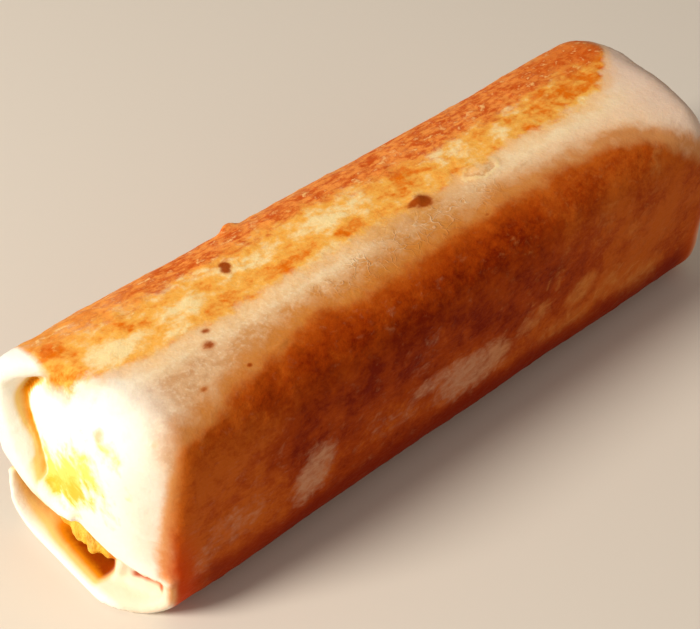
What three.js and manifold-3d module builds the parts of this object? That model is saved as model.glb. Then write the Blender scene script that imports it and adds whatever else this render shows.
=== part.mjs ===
// A toasted breakfast burrito, lying on its side: a flour tortilla rolled round scrambled egg and
// melted cheese, pressed square while it was browned in a pan. One end is tucked but gapes open.
// Millimetres. X runs along the roll, from the gaping end to the closed one, Z is up, and the
// origin is at the middle of the footprint. The side at -Y is the one browned most.
import * as THREE from 'three';
import { mergeVertices } from 'three/addons/utils/BufferGeometryUtils.js';
import Module from 'manifold-3d';

const wasm = await Module();
wasm.setup();

// ---------- Driving dimensions ----------
const LENGTH = 181;
const WIDTH = 52.4;
const HEIGHT = 50.6;
const SQUARENESS = 4.4; // exponent of the rounded square that the roll was pressed to
const SINK = 1.4; // how far the round underside was pressed flat
const WALL = 3.4; // several turns of tortilla
const LAYER = 1.1; // one turn of tortilla
const FILLING_GAP = 0.35;
const LIP_REACH = 4.5; // how far the lower rim of the open end stands past the tucked flap
const POCKET_DEPTH = 14.5; // how deep the open end gapes, from its lower rim
const FAR_SLANT = 7; // how much shorter the roll is at its front top edge
const JOIN = 1; // how far a form runs into the one that it is joined to
const TORTILLA = { colour: 0xd9a066, roughness: 0.7 };
const EGG = { colour: 0xf2b233, roughness: 0.5 };

// ---------- Resolution ----------
const SKIN = { around: 64, capRows: 8, barRows: 16 };
const CORE = { around: 32, capRows: 5, barRows: 5 };

const END_X = LENGTH / 2;
const FLAP_X = -END_X + LIP_REACH;
const POCKET_X = -END_X + POCKET_DEPTH;
const HALF_WIDTH = WIDTH / 2;
const HALF_HEIGHT = (HEIGHT + SINK) / 2;
const CENTRE_Z = HEIGHT - HALF_HEIGHT;
const { sin, cos, abs, max, min, atan2, PI } = Math;
const { lerp, clamp, smoothstep, degToRad } = THREE.MathUtils;
const FULL_TURN = 2 * PI;

// ---------- Helpers ----------

// Moves each vertex of a closed box to place(u, v, w), with u, v and w from 0 to 1.
function mappedBox(steps, place) {
  const box = new THREE.BoxGeometry(1, 1, 1, ...steps);
  const position = box.getAttribute('position');
  for (let i = 0; i < position.count; i += 1) {
    const share = new THREE.Vector3().fromBufferAttribute(position, i).addScalar(0.5);
    const spot = place(share.x, share.y, share.z);
    position.setXYZ(i, spot.x, spot.y, spot.z);
  }
  return box;
}

// Moves each vertex of a sphere to place(column, row), with its poles as the two ends.
function mappedSphere(columns, rows, place) {
  const sphere = new THREE.SphereGeometry(1, columns, rows);
  const position = sphere.getAttribute('position');
  const uv = sphere.getAttribute('uv');
  for (let i = 0; i < position.count; i += 1) {
    const column = Math.round(uv.getX(i) * columns);
    const row = Math.round((1 - uv.getY(i)) * rows);
    const spot = place(column, row);
    position.setXYZ(i, spot.x, spot.y, spot.z);
  }
  return sphere;
}

function enclosedVolume(points, triangles) {
  const [a, b, c] = [new THREE.Vector3(), new THREE.Vector3(), new THREE.Vector3()];
  let sum = 0;
  for (let i = 0; i < triangles.length; i += 3) {
    a.fromArray(points, 3 * triangles[i]);
    b.fromArray(points, 3 * triangles[i + 1]);
    c.fromArray(points, 3 * triangles[i + 2]);
    sum += a.dot(b.cross(c)) / 6;
  }
  return sum;
}

// A closed geometry as a solid, whichever way round the mapping left its faces.
function solid(geometry) {
  geometry.deleteAttribute('normal');
  geometry.deleteAttribute('uv');
  const merged = mergeVertices(geometry, 1e-3);
  const vertProperties = new Float32Array(merged.getAttribute('position').array);
  const triVerts = new Uint32Array(merged.getIndex().array);
  if (enclosedVolume(vertProperties, triVerts) < 0) triVerts.reverse();
  return new wasm.Manifold(new wasm.Mesh({ numProp: 3, vertProperties, triVerts }));
}

function meshOf(body, name, finish) {
  const { vertProperties, triVerts } = body.getMesh();
  const geometry = new THREE.BufferGeometry();
  geometry.setAttribute('position', new THREE.BufferAttribute(vertProperties, 3));
  geometry.setIndex(new THREE.BufferAttribute(triVerts, 1));
  geometry.computeVertexNormals();
  const { colour, roughness } = finish;
  const material = new THREE.MeshStandardMaterial({ color: colour, roughness, metalness: 0 });
  const mesh = new THREE.Mesh(geometry, material);
  mesh.name = name;
  return mesh;
}

// ---------- The rounded-square section ----------
// Angles run from the back (+Y) over the top to the front and underneath.

function sectionReach(angle, inset = 0) {
  const across = abs(cos(angle)) / (HALF_WIDTH - inset);
  const upward = abs(sin(angle)) / (HALF_HEIGHT - inset);
  return (across ** SQUARENESS + upward ** SQUARENESS) ** (-1 / SQUARENESS);
}

function sectionPoint(x, angle, reach) {
  const z = CENTRE_Z + reach * sin(angle);
  return new THREE.Vector3(x, reach * cos(angle), max(z, 0));
}

// Soft dents and swellings that hand rolling leaves.
function handRolled(x, angle) {
  const broad = 0.3 * sin(x / 27 + 0.8) * cos(2 * angle + 0.6);
  const small = 0.12 * sin(x / 9.5 + 2 * angle);
  return broad + small;
}

// The outer edge of the round tortilla runs along the back, lowest halfway along the roll.
function seamAngle(along) {
  return degToRad(lerp(-30, -16, along ** 2));
}

// How far the skin lies from the middle of its section: the outer turn is raised above the one
// under it at the seam, and comes down to it over a full turn.
function skinReach(x, angle, turn) {
  return sectionReach(angle) + handRolled(x, angle) - LAYER * turn;
}

// ---------- The ends, rounded from the sides into each end face ----------

// Each rounds off deepest towards one corner of the section.
const NEAR_ROUNDING = { side: 7, extra: 7, corner: degToRad(135), power: 2.2 };
const FAR_ROUNDING = { side: 10, extra: 5, corner: degToRad(60), power: 2.7 };

// Distance behind the end face, at a share of the way from its middle to its rim.
function endDrop({ side, extra, corner, power }, angle, share) {
  const depth = side + extra * max(cos(angle - corner), 0) ** 4;
  return depth * (1 - (1 - share ** power) ** (1 / power));
}

// The closed end leans back towards its front top edge.
function farFaceX(y, z) {
  const leanStart = 9;
  const leanUnderneath = 0.25;
  const frontward = clamp((leanStart - y) / (HALF_WIDTH + leanStart), 0, 1);
  const upward = lerp(leanUnderneath, 1, clamp(z / HEIGHT, 0, 1));
  return END_X - FAR_SLANT * frontward * upward;
}

// ---------- The roll ----------

// A point of the roll's skin, or of the same skin moved in by an inset. Columns go round from
// the seam, and the last one but one lies close under it, so that the outer turn ends in a step.
const SEAM_TO_SEAM = 0.997 * FULL_TURN;

function rollPoint(column, row, grid, inset) {
  const { around, capRows, barRows } = grid;
  const rows = barRows + 2 * capRows;
  const closing = column === around;
  const turn = closing ? 0 : column / (around - 1);
  const angle = seamAngle((2 * row) / rows - 1) + turn * SEAM_TO_SEAM;
  const nearShare = sin((PI / 2) * min(row / capRows, 1));
  const farShare = sin((PI / 2) * min((rows - row) / capRows, 1));
  const share = min(nearShare, farShare);
  const side = sectionPoint(0, angle, sectionReach(angle, inset) * share);
  const nearX = FLAP_X + inset + endDrop(NEAR_ROUNDING, angle, nearShare);
  const farX = farFaceX(side.y, side.z) - inset - endDrop(FAR_ROUNDING, angle, farShare);
  const x = lerp(nearX, farX, clamp((row - capRows) / barRows, 0, 1));
  const full = inset > 0 ? sectionReach(angle, inset) : skinReach(x, angle, turn * share);
  return sectionPoint(x, angle, share * full);
}

function roll() {
  const rows = SKIN.barRows + 2 * SKIN.capRows;
  const place = (column, row) => rollPoint(column, row, SKIN, 0);
  return solid(mappedSphere(SKIN.around, rows, place));
}

// The room inside the walls, or with a gap the filling that takes it up.
function core(gap) {
  const inset = WALL + gap;
  const rows = CORE.barRows + 2 * CORE.capRows;
  const place = (column, row) => {
    const spot = rollPoint(column, row, CORE, inset);
    spot.z = max(spot.z, inset);
    return spot;
  };
  return solid(mappedSphere(CORE.around, rows, place));
}

// ---------- The gaping end: a tucked flap with a pocket round its back and bottom edges ----------

// The flap's free edge seen from the end, in Y and Z, from its top down the back and along the
// bottom to the front.
const FLAP_EDGE = [
  [5, 50.5], [10, 46.6], [14.6, 43.4], [17, 38.5], [16.4, 32.5], [14.3, 27], [13, 21], [11.4, 15],
  [7.6, 11.9], [1, 10.8], [-6, 10.2], [-13, 11], [-20, 11.8], [-32, 12.4],
];
const FLAP_EDGE_STEPS = 44;
const OUTSIDE = 60; // well clear of the roll on every side

function flapEdge(gap) {
  const curve = new THREE.SplineCurve(FLAP_EDGE.map(([y, z]) => new THREE.Vector2(y, z)));
  return curve.getSpacedPoints(FLAP_EDGE_STEPS).map((spot, i) => {
    const tangent = curve.getTangentAt(i / FLAP_EDGE_STEPS);
    return new THREE.Vector2(spot.x - gap * tangent.y, spot.y + gap * tangent.x);
  });
}

// All that lies outside the flap's edge, at the gaping end.
function pocket(gap, floorX) {
  const outline = new THREE.Shape(flapEdge(gap));
  outline.lineTo(-OUTSIDE, FLAP_EDGE.at(-1)[1]);
  outline.lineTo(-OUTSIDE, -OUTSIDE);
  outline.lineTo(OUTSIDE, -OUTSIDE);
  outline.lineTo(OUTSIDE, OUTSIDE);
  outline.lineTo(FLAP_EDGE[0][0], OUTSIDE);
  const block = new THREE.ExtrudeGeometry(outline, { depth: OUTSIDE, bevelEnabled: false });
  const turned = new THREE.Matrix4().makeBasis(
    new THREE.Vector3(0, 1, 0),
    new THREE.Vector3(0, 0, 1),
    new THREE.Vector3(1, 0, 0),
  );
  block.applyMatrix4(turned);
  block.translate(floorX - OUTSIDE, 0, 0);
  return solid(block);
}

// A rim of the outer turns: a curved slab between an outer and an inner path in the YZ plane,
// running from its root, inside the roll, to its rounded free edge.
const PATH_LENGTH = 80; // of either rim, roughly
const ROUNDED_PART = 0.3; // share of a rim's reach over which its edge is rounded

function rim(outerPath, innerPath, reach, grow) {
  const place = (share, v, w) => {
    const u = lerp(-grow / PATH_LENGTH, 1 + grow / PATH_LENGTH, share);
    const outer = outerPath(u);
    const across = innerPath(u).sub(outer);
    const rounding = 0.25 * clamp((v - 1) / ROUNDED_PART + 1, 0, 1) ** 2;
    const spread = grow / across.length();
    const { rootX, edgeX } = reach(u);
    const spot = outer.addScaledVector(across, lerp(rounding - spread, 1 - rounding + spread, w));
    spot.x = lerp(rootX + grow, edgeX - grow, v);
    return spot;
  };
  return solid(mappedBox([30, 7, 2], place));
}

// A smooth path through points, carried on straight past both its ends.
function pathThrough(points) {
  const curve = new THREE.CatmullRomCurve3(points);
  return (u) => {
    const share = clamp(u, 0, 1);
    return curve.getPoint(share).addScaledVector(curve.getTangent(share), (u - share) * PATH_LENGTH);
  };
}

// Upper rim: from the flap's top, over the back and down it, then hooked in under the flap.
// Each row is a point of its outer face and the point of its inner face next to it.
const UPPER_RIM_TOP = [[88, 2.4, 47.9], [73, 7.6, 47.2], [60, 12.8, 46], [48, 16.4, 43.6]];
const UPPER_RIM_BACK = [[33, 17.6, 39], [15, 17.2, 33], [-2, 15.7, 27.8]];
const UPPER_RIM_HOOK = [
  [25, 19.4, 14.6, 24], [21.8, 17, 13.4, 21.6], [17.4, 14.9, 11.8, 19.4],
  [12.6, 12.7, 9.6, 17.6], [7.8, 11.6, 6.6, 16.2], [2.4, 13.2, 3, 15.4],
];

function upperRim(grow = 0) {
  const outer = [];
  const inner = [];
  [...UPPER_RIM_TOP, ...UPPER_RIM_BACK].forEach(([degrees, y, z]) => {
    const angle = degToRad(degrees);
    const turn = (angle - seamAngle(-1)) / FULL_TURN;
    outer.push(sectionPoint(0, angle, skinReach(POCKET_X, angle, max(turn, 0))));
    inner.push(new THREE.Vector3(0, y, z));
  });
  UPPER_RIM_HOOK.forEach(([outerY, outerZ, innerY, innerZ]) => {
    outer.push(new THREE.Vector3(0, outerY, outerZ));
    inner.push(new THREE.Vector3(0, innerY, innerZ));
  });
  const setBack = 1; // behind the lower rim
  const reach = (u) => {
    const towardsTop = 1 - smoothstep(u, 0, 0.28);
    const hook = smoothstep(u, 0.62, 0.86);
    const tip = smoothstep(u, 0.75, 1);
    return {
      rootX: POCKET_X + JOIN - 7 * hook,
      edgeX: -END_X + setBack + 10.5 * towardsTop + 2 * tip,
    };
  };
  return rim(pathThrough(outer), pathThrough(inner), reach, grow);
}

// Lower rim: from under the seam round the bottom and up the front corner.
function lowerRim(grow = 0) {
  const thickness = 3;
  const path = (inset) => (u) => {
    const angle = degToRad(lerp(-25, -158, u));
    const turn = 1 + (angle - seamAngle(-1)) / FULL_TURN;
    return sectionPoint(0, angle, skinReach(POCKET_X, angle, turn) - inset);
  };
  const inside = (u) => {
    const spot = path(thickness)(u);
    spot.z = max(spot.z, thickness);
    return spot;
  };
  const reach = (u) => {
    const underSeam = 1 - smoothstep(u, 0, 0.15);
    const frontCorner = smoothstep(u, 0.65, 0.84);
    return { rootX: POCKET_X + JOIN, edgeX: -END_X + 1.6 * underSeam + 9.5 * frontCorner };
  };
  return rim(path(0), inside, reach, grow);
}

// The corner of the flap, folded in flat between the flap and the front of the lower rim.
function cornerTuck(grow = 0) {
  const place = (u, v, w) => {
    const bottom = 1.6;
    const top = 12.6 + 1.2 * u;
    const backSide = -5;
    const frontSide = -17.5 - 5.5 * v;
    const outerX = FLAP_X + lerp(2.2, 3.4, v) + 2 * smoothstep(u, 0.45, 1);
    return new THREE.Vector3(
      lerp(outerX - grow, POCKET_X + JOIN + grow, w),
      lerp(backSide + grow, frontSide - grow, u),
      lerp(bottom - grow, top + grow, v),
    );
  };
  return solid(mappedBox([8, 5, 1], place));
}

// ---------- The closed end: the outer turns show as a rim round a crease ----------

function farCrease() {
  const inset = 6.5;
  const clear = 4; // past the end face
  const place = (u, v, w) => {
    const middleness = sin(PI * u);
    const angle = degToRad(lerp(112, -140, u));
    const middle = sectionReach(angle, inset + 1.5 * middleness);
    const halfWidth = (0.25 + 0.5 * middleness) * lerp(0.4, 1.4, v);
    const spot = sectionPoint(0, angle, middle + lerp(-halfWidth, halfWidth, w));
    const share = middle / sectionReach(angle);
    const face = farFaceX(spot.y, spot.z) - endDrop(FAR_ROUNDING, angle, share);
    const depth = 1.2 + 1.1 * middleness;
    spot.x = lerp(face - depth, face + clear, v);
    return spot;
  };
  return solid(mappedBox([28, 2, 1], place));
}

// ---------- Blisters and a torn flake, raised by the heat of the pan ----------

const BLISTERS = [
  { x: 6.7, y: -1.1, length: 5.2, width: 3.8, height: 0.8 },
  { x: 24.3, y: -2.9, length: 10, width: 6, height: 0.5 },
];

function blister({ x, y, length, width, height }) {
  const dome = new THREE.SphereGeometry(1, 16, 8);
  dome.scale(length / 2, width / 2, height + JOIN);
  const angle = atan2(HALF_HEIGHT, y);
  const turn = (angle - seamAngle(x / END_X)) / FULL_TURN;
  const skin = sectionPoint(x, angle, skinReach(x, angle, turn));
  dome.translate(skin.x, skin.y, skin.z - JOIN);
  return solid(dome);
}

// A crisp corner of the outer turn, standing up from the back top edge.
const FLAKE_X = -28.5;
const FLAKE_OUTLINE = [[-3, -2], [3, -2], [2.4, 0.2], [0.6, 1.5], [-2.8, 0.2]]; // along and up

function tornFlake() {
  const outline = new THREE.Shape(FLAKE_OUTLINE.map(([x, y]) => new THREE.Vector2(x, y)));
  const flake = new THREE.ExtrudeGeometry(outline, { depth: LAYER, bevelEnabled: false });
  flake.rotateX(degToRad(62));
  const angle = degToRad(47);
  const corner = sectionPoint(FLAKE_X, angle, sectionReach(angle));
  flake.translate(corner.x, corner.y, corner.z);
  return solid(flake);
}

// ---------- Egg curds that show in the pocket ----------

// Each lies at a depth behind the lower rim, and at a place across and up.
const CURDS = [
  { at: [8.3, 9.4, 8.4], radius: 3.7 },
  { at: [7.4, 4.9, 6.6], radius: 2.7 },
  { at: [8.4, 2.6, 8.2], radius: 3.4 },
  { at: [7.8, -0.6, 6.2], radius: 2.6 },
  { at: [8.6, -3, 7], radius: 2.6 },
  { at: [8.4, 13.4, 6.8], radius: 3.3 },
  { at: [7, 17.6, 10], radius: 3.1 },
  { at: [6.4, 20.9, 13.4], radius: 2.9 },
];

// A lump longer one way than the others, with a few soft bulges of its own.
function curd({ at, radius }, index) {
  const lump = new THREE.IcosahedronGeometry(radius, 2);
  const position = lump.getAttribute('position');
  const spot = new THREE.Vector3();
  for (let i = 0; i < position.count; i += 1) {
    spot.fromBufferAttribute(position, i);
    const bulge = sin(1.5 * spot.x + index) * sin(1.7 * spot.y + 2 * index) * cos(1.4 * spot.z);
    spot.multiplyScalar(1 + 0.22 * bulge);
    position.setXYZ(i, spot.x, spot.y, spot.z);
  }
  lump.scale(1.1, 1.25, 0.85);
  lump.rotateX(0.9 * sin(5 * index));
  lump.rotateZ(index);
  const [depth, across, up] = at;
  lump.translate(depth - END_X, across, up);
  return solid(lump);
}

// ---------- The two pieces ----------

function tortilla() {
  const additions = [upperRim(), lowerRim(), cornerTuck(), tornFlake(), ...BLISTERS.map(blister)];
  const hollow = roll().subtract(pocket(0, POCKET_X)).subtract(core(0)).subtract(farCrease());
  return additions.reduce((body, addition) => body.add(addition), hollow);
}

function filling() {
  const inPocket = pocket(FILLING_GAP, POCKET_X + WALL + JOIN);
  const shown = CURDS.map(curd).reduce((body, lump) => body.add(lump));
  const grown = [upperRim(FILLING_GAP), lowerRim(FILLING_GAP), cornerTuck(FILLING_GAP)];
  const whole = core(FILLING_GAP).add(shown.intersect(inPocket));
  return grown.reduce((body, neighbour) => body.subtract(neighbour), whole);
}

const burrito = new THREE.Group();
burrito.add(meshOf(tortilla(), 'tortilla', TORTILLA));
burrito.add(meshOf(filling(), 'filling', EGG));

// The soft dents move the footprint's middle a little.
const middle = new THREE.Box3().setFromObject(burrito).getCenter(new THREE.Vector3());
burrito.position.set(-middle.x, -middle.y, 0);

export default burrito;
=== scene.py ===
# %% [markdown]
# # A toasted breakfast burrito
#
# A flour tortilla rolled round scrambled egg, pressed square and browned in a pan. It lies on its
# side, and one of its ends gapes: the tucked flap there has a pocket behind it where egg shows.
#
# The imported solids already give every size. This script makes the same two pieces again with fine
# surfaces and real finishes. All shapes are worked out in millimetres in the roll's own frame
# (X along the roll, Z up, the most browned side at -Y) and turned to metres once, at the end.

# %% Load the solids that set the sizes
import math

import bmesh
import bpy
import numpy as np
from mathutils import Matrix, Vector


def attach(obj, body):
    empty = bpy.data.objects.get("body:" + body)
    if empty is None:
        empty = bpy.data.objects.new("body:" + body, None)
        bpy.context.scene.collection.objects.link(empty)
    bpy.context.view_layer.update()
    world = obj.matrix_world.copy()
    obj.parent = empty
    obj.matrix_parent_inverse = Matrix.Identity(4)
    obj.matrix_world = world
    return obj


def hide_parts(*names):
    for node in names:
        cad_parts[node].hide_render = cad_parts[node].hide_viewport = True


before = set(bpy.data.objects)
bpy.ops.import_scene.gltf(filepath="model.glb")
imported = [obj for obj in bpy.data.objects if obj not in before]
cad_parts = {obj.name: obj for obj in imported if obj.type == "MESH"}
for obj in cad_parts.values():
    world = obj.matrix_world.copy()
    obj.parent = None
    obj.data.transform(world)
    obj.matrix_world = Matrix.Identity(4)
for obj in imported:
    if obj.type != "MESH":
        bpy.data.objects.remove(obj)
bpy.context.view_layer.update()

# %% [markdown]
# The camera looks down on the gaping end from the most browned side. It is made first, so that
# every later cell can be looked at through it. A turn round Z and a height above the floor are
# easier to read than a rotation, so the place is worked out from those two angles.

# %% Camera
MM = 0.001
VIEW_AZIMUTH, VIEW_ELEVATION = math.radians(-42), math.radians(43)
VIEW_DISTANCE = 376.87 * MM
VIEW_TARGET = Vector((-12.33, -0.73, 27.6)) * MM

camera = bpy.data.objects.new("camera", bpy.data.cameras.new("camera"))
bpy.context.scene.collection.objects.link(camera)
bpy.context.scene.camera = camera
camera.data.lens = 87.43
camera.data.sensor_width = 36
camera.data.clip_start = 0.01
backwards = Vector((
    math.sin(VIEW_AZIMUTH) * math.cos(VIEW_ELEVATION),
    -math.cos(VIEW_AZIMUTH) * math.cos(VIEW_ELEVATION),
    math.sin(VIEW_ELEVATION),
))
camera.location = VIEW_TARGET + backwards * VIEW_DISTANCE
camera.rotation_euler = backwards.to_track_quat("Z", "Y").to_euler()
print("camera at", [round(v, 3) for v in camera.location])

# %% [markdown]
# ## Nodes written as expressions
#
# Both the roll's shape and its toasted skin are rules with a lot of arithmetic in them. Adding
# Math nodes by hand hides such a rule, so `Term` wraps a socket and lets Python's own operators
# add the nodes. `Nodes.add` makes every other node. The same two classes serve geometry trees and
# materials, so a rule can be written once and used in both.

# %% Expressions on sockets
class Term:
    """A socket that Python's operators work on, each adding one Math node."""

    def __init__(self, nodes, socket):
        self.nodes, self.socket = nodes, socket

    def math(self, operation, *others):
        """One Math node on this socket and up to two others."""
        return self.nodes.add("ShaderNodeMath", {"operation": operation}, [self, *others])

    def __add__(self, other):
        return self.math("ADD", other)

    def __sub__(self, other):
        return self.math("SUBTRACT", other)

    def __mul__(self, other):
        return self.math("MULTIPLY", other)

    def __truediv__(self, other):
        return self.math("DIVIDE", other)

    def __pow__(self, other):
        return self.math("POWER", other)

    def __radd__(self, other):
        return self + other

    def __rmul__(self, other):
        return self * other

    def __rsub__(self, other):
        return self.nodes.add("ShaderNodeMath", {"operation": "SUBTRACT"}, [other, self])

    def __neg__(self):
        return self * -1

    def least(self, other):
        return self.math("MINIMUM", other)

    def most(self, other):
        return self.math("MAXIMUM", other)

    def sine(self):
        return self.math("SINE")

    def cosine(self):
        return self.math("COSINE")

    def size(self):
        return self.math("ABSOLUTE")

    def rise(self, start, end):
        """A soft step from 0 to 1 between two values, or from 1 to 0 if end is the lower one."""
        if start > end:
            return 1 - self.rise(end, start)
        return self.nodes.add("ShaderNodeMapRange", {"interpolation_type": "SMOOTHSTEP"},
                              {"Value": self, "From Min": start, "From Max": end})


# %% Node trees
class Nodes:
    """A node tree with one method that adds a node, sets it and joins its sockets."""

    def __init__(self, tree):
        self.tree = tree

    def add(self, kind, settings=None, inputs=None, output=0):
        """A new node: its settings, then its sockets' values or links, by name or number."""
        node = self.tree.nodes.new(kind)
        for name, value in (settings or {}).items():
            setattr(node, name, value)
        named = inputs if isinstance(inputs, dict) else dict(enumerate(inputs or []))
        for name, value in named.items():
            self.join(value, node.inputs[name])
        return Term(self, node.outputs[output])

    def join(self, value, socket):
        """Links a Term to a socket, or sets the socket to a plain value."""
        if isinstance(value, Term):
            self.tree.links.new(value.socket, socket)
        else:
            socket.default_value = value

    def blend(self, share, first, second):
        """Colour mix: first where share is 0, second where it is 1."""
        return self.add("ShaderNodeMix", {"data_type": "RGBA"},
                        {0: share, 6: first, 7: second}, 2)

    def noise(self, vector, scale, detail=2.0, roughness=0.5, distortion=0.0):
        """Soft noise from about 0.25 to 0.75; scale is in bumps per unit of the vector."""
        return self.add("ShaderNodeTexNoise", None, {
            "Vector": vector, "Scale": scale, "Detail": detail, "Roughness": roughness,
            "Distortion": distortion})

    def split(self, vector):
        """X, Y and Z of a vector."""
        node = self.add("ShaderNodeSeparateXYZ", None, [vector]).socket.node
        return [Term(self, socket) for socket in node.outputs]

    def vector(self, x, y, z):
        return self.add("ShaderNodeCombineXYZ", None, [x, y, z])

    def scaled(self, vector, amount):
        """A vector made longer or shorter by one number."""
        return self.add("ShaderNodeVectorMath", {"operation": "SCALE"},
                        {0: vector, "Scale": amount})

    def stretched(self, vector):
        """A place squeezed along X, so that noise read there runs along the roll."""
        return self.add("ShaderNodeVectorMath", {"operation": "MULTIPLY"},
                        {0: vector, 1: (0.6, 1.0, 1.0)})


# %% [markdown]
# ## The roll
#
# Its skin follows one rule: a rounded-square section, carried along X and drawn in at both ends.
# A grid of points is wrapped on by Geometry Nodes. Its columns go once round the section, starting
# at the free edge of the tortilla. The last column but one stops just under the first, one layer
# lower, which leaves the real step where the outer turn ends.

# %% Sizes of the roll
LENGTH, WIDTH, HEIGHT = 181.0, 52.4, 50.6
SQUARENESS = 4.4  # 2 is an ellipse, and a high number a square
SINK = 1.4  # how much of the section's rounding the flat underside takes off
WALL, LAYER, EGG_GAP = 3.4, 1.1, 0.35
END_X = LENGTH / 2
FLAP_X = -END_X + 4.5
POCKET_X = -END_X + 14.5
HALF_WIDTH, HALF_HEIGHT = WIDTH / 2, (HEIGHT + SINK) / 2
CENTRE_Z = HEIGHT - HALF_HEIGHT
FOOTPRINT_SHIFT = Vector((0.142, -0.270, 0.0))
SEAM_MIDDLE, SEAM_DROP = math.radians(-30), math.radians(14)
SWELL, SWELL_SPAN = 0.3, 27  # the broad unevenness of the skin, and its length along the roll
RIPPLE, RIPPLE_SPAN = 0.12, 9.5
LEAN, LEAN_FROM, LOW_LEAN = 7, 9, 0.25  # how the closed end leans back, see far_face
FULL_TURN = 2 * math.pi
ONCE_ROUND = 0.997  # of a turn; the rest is the step of the seam
NEAR_END = {"side": 7, "extra": 7, "corner": math.radians(135), "power": 2.2}
FAR_END = {"side": 10, "extra": 5, "corner": math.radians(60), "power": 2.7}
print(f"roll {LENGTH} x {WIDTH} x {HEIGHT} mm, wall {WALL} mm")


# %% [markdown]
# A Geometry Nodes modifier is only a recipe. The finished piece should be a plain mesh, so each
# tree is run on an object and `settle` keeps what came out of it. The tree's numbers are named
# inputs, so the same tree makes both the outside of the roll and the room inside it.

# %% Finished meshes from node trees
def new_object(name, mesh):
    piece = bpy.data.objects.new(name, mesh)
    bpy.context.scene.collection.objects.link(piece)
    return piece


def settle(piece):
    """Replaces a piece's mesh by what its modifiers make of it, and removes them."""
    graph = bpy.context.evaluated_depsgraph_get()
    mesh = bpy.data.meshes.new_from_object(piece.evaluated_get(graph))
    piece.modifiers.clear()
    old, piece.data = piece.data, mesh
    bpy.data.meshes.remove(old)
    return piece


def triangles(piece):
    return sum(len(face.vertices) - 2 for face in piece.data.polygons)


def geometry_tree(name, inputs):
    """A Geometry Nodes tree with named number inputs, and a Term for each."""
    tree = bpy.data.node_groups.new(name, "GeometryNodeTree")
    tree.interface.new_socket("Geometry", in_out="INPUT", socket_type="NodeSocketGeometry")
    for label, value in inputs.items():
        socket = tree.interface.new_socket(label, in_out="INPUT", socket_type="NodeSocketFloat")
        socket.default_value = value
    tree.interface.new_socket("Geometry", in_out="OUTPUT", socket_type="NodeSocketGeometry")
    nodes = Nodes(tree)
    entry = tree.nodes.new("NodeGroupInput")
    terms = {socket.name: Term(nodes, socket) for socket in entry.outputs if socket.name}
    return nodes, terms


def close_tree(nodes, geometry):
    exit_node = nodes.tree.nodes.new("NodeGroupOutput")
    nodes.join(geometry, exit_node.inputs[0])


def run_tree(piece, nodes, values):
    """Runs a tree on a piece, with its inputs set by their sockets' identifiers."""
    modifier = piece.modifiers.new(nodes.tree.name, "NODES")
    modifier.node_group = nodes.tree
    for item in nodes.tree.interface.items_tree:
        if item.in_out == "INPUT" and item.name in values:
            modifier[item.identifier] = float(values[item.name])
    return settle(piece)


# %% [markdown]
# A superellipse gives the pressed section: with a power of 2 it is round, and with a high power it
# is square. The ends are drawn in by the same kind of curve. A soft wave on top of both keeps the
# roll from looking turned on a lathe.

# %% The rule of the skin, as nodes
def section_reach(angle, inset):
    """Distance from the middle of the section to its edge."""
    across = angle.cosine().size() / (HALF_WIDTH - inset)
    upward = angle.sine().size() / (HALF_HEIGHT - inset)
    return (across ** SQUARENESS + upward ** SQUARENESS) ** (-1 / SQUARENESS)


def end_drop(end, angle, share):
    """How far the skin lies behind the end face, at a share of the way out from its middle."""
    depth = end["side"] + end["extra"] * (angle - end["corner"]).cosine().most(0) ** 4
    return depth * (1 - (1 - share ** end["power"]).most(0) ** (1 / end["power"]))


def far_face(y, z):
    """The closed end leans back towards its front top edge."""
    frontward = ((LEAN_FROM - y) / (HALF_WIDTH + LEAN_FROM)).most(0).least(1)
    upward = LOW_LEAN + (1 - LOW_LEAN) * (z / HEIGHT).most(0).least(1)
    return END_X - LEAN * frontward * upward


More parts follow.
